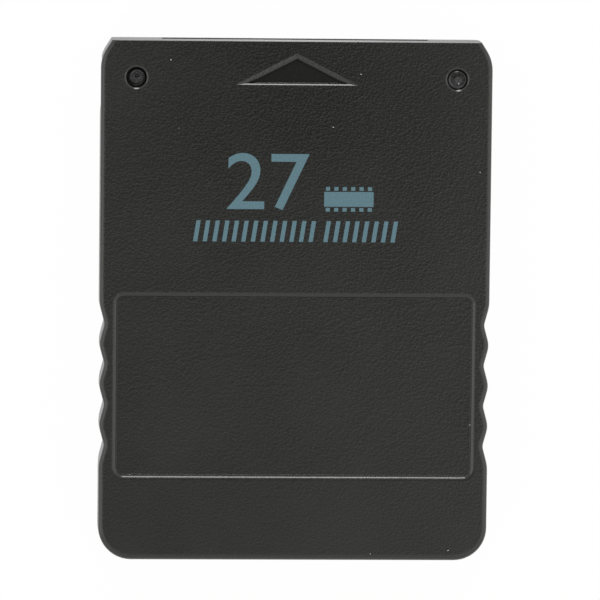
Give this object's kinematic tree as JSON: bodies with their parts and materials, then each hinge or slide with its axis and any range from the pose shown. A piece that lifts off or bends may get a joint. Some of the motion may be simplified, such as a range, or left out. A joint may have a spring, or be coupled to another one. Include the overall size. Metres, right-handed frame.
{
  "type": "console memory card",
  "caption": "Flat rectangular game-console memory card: two-part plastic case with wavy grip sides, arrow and label recesses, and a recessed edge connector at one end.",
  "frame": {"origin": "middle of the card's footprint, on the surface that the rear face lies on", "axes": "+Z out of the front face, +Y towards the connector end, +X to the right as seen from the front"},
  "size_m": [0.042, 0.056, 0.0076],
  "materials": {
    "shell_plastic": "black ABS, fine moulded grain",
    "board_laminate": "green solder mask on glass-epoxy board",
    "contact_gold": "gold-plated copper",
    "chip_resin": "moulded black epoxy",
    "tinned_lead": "tin-plated metal strip",
    "white_ceramic": "fired ceramic",
    "nickel_lid": "nickel-plated lid",
    "capacitor_resin": "moulded yellow epoxy",
    "tan_ceramic": "fired ceramic with plated ends",
    "black_ceramic": "glass-coated ceramic with plated ends"
  },
  "bodies": {
    "root": {"front_shell": "shell_plastic", "rear_shell": "shell_plastic", "circuit_board": "board_laminate", "flash_memory_package": "chip_resin", "flash_memory_leads": "tinned_lead", "controller_package": "chip_resin", "controller_leads": "tinned_lead", "crystal_base": "white_ceramic", "crystal_lid": "nickel_lid", "regulator_package": "chip_resin", "regulator_leads": "tinned_lead", "bulk_capacitor_body": "capacitor_resin", "bulk_capacitor_terminals": "tinned_lead", "contact_finger_1": "contact_gold", "contact_finger_2": "contact_gold", "contact_finger_3": "contact_gold", "contact_finger_4": "contact_gold", "contact_finger_5": "contact_gold", "contact_finger_6": "contact_gold", "contact_finger_7": "contact_gold", "contact_finger_8": "contact_gold", "ceramic_capacitor_1": "tan_ceramic", "ceramic_capacitor_2": "tan_ceramic", "ceramic_capacitor_3": "tan_ceramic", "ceramic_capacitor_4": "tan_ceramic", "resistor_1": "black_ceramic", "resistor_2": "black_ceramic", "resistor_3": "black_ceramic", "resistor_4": "black_ceramic"}
  },
  "joints": []
}
